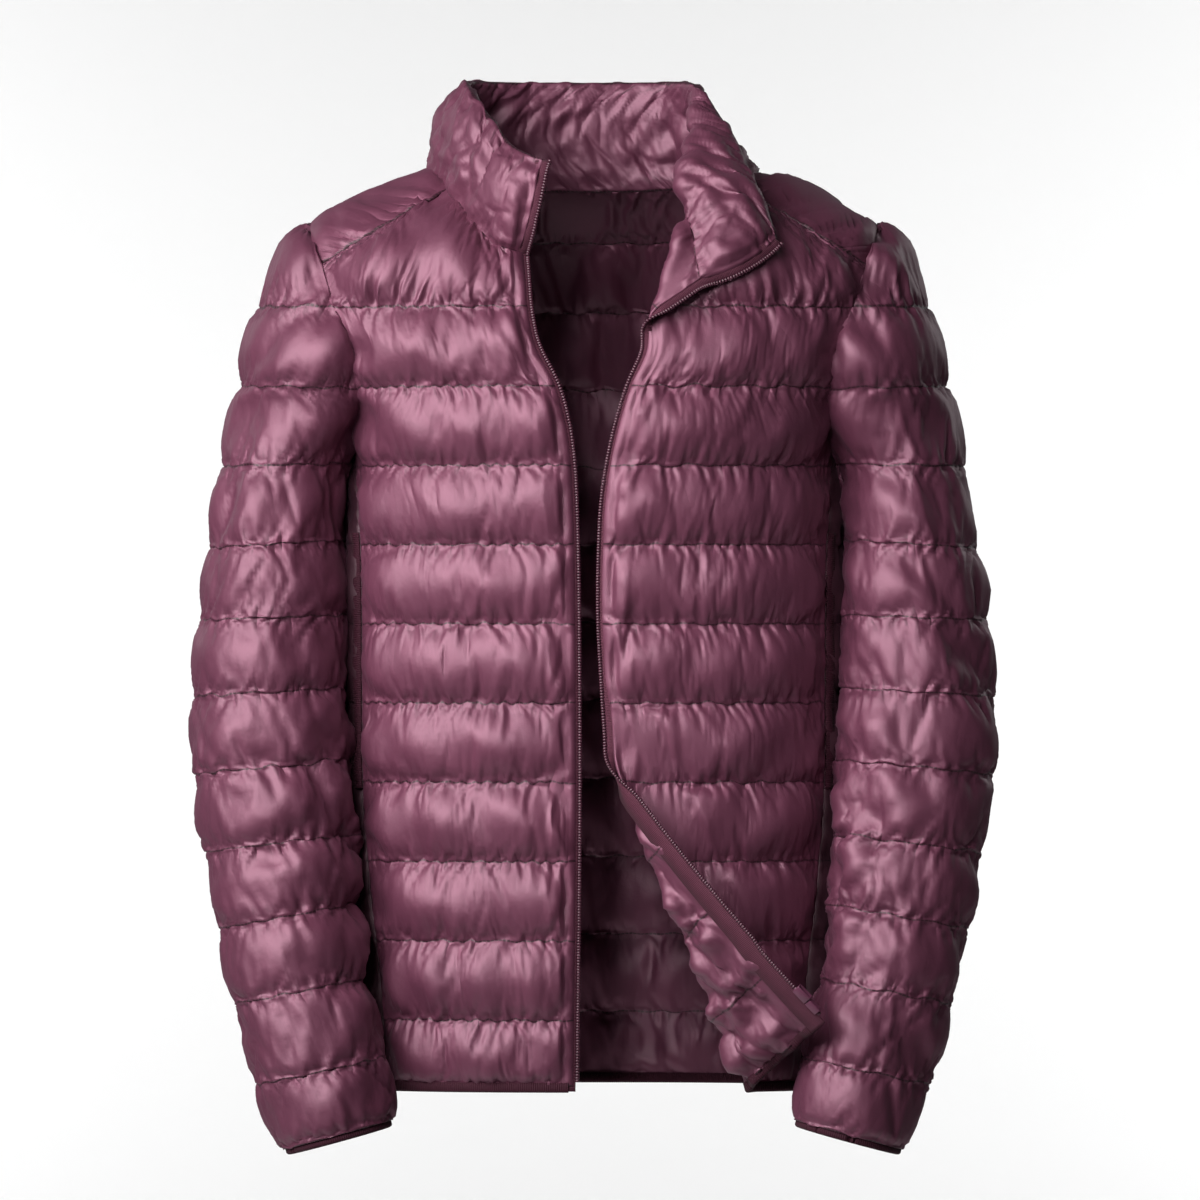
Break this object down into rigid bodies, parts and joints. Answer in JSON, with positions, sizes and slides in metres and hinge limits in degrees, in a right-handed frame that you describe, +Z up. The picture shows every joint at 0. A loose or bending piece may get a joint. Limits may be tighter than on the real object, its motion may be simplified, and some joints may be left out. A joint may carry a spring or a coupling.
{
  "type": "quilted puffer jacket",
  "caption": "Light quilted puffer jacket with a stand collar, open front zip, bound cuffs and hem, filled out as if worn.",
  "frame": {"origin": "between the two neck points of the shoulder seams, where a wearer's shoulders or a hanger hold the jacket", "axes": "+X towards the wearer's left, +Y towards the wearer's back (the front faces -Y), +Z up"},
  "size_m": [0.5936, 0.3235, 0.7896],
  "materials": {
    "plum_nylon": "glossy downproof nylon",
    "plum_binding": "matt elastic binding",
    "plum_zip_tape": "woven tape",
    "plum_zip_teeth": "dyed plastic"
  },
  "bodies": {
    "root": {"front_right": "plum_nylon", "front_left": "plum_nylon", "back": "plum_nylon", "side_right": "plum_nylon", "side_left": "plum_nylon", "collar": "plum_nylon", "sleeve_right": "plum_nylon", "sleeve_left": "plum_nylon", "pocket_welt_right": "plum_binding", "pocket_welt_left": "plum_binding", "cuff_binding_right": "plum_binding", "cuff_binding_left": "plum_binding", "hem_binding": "plum_binding", "zip_tape_right": "plum_zip_tape", "zip_tape_left": "plum_zip_tape", "zip_teeth_right": "plum_zip_teeth", "zip_teeth_left": "plum_zip_teeth", "zip_pin": "plum_zip_teeth", "zip_box": "plum_zip_teeth", "zip_slider": "plum_zip_teeth"}
  },
  "joints": []
}
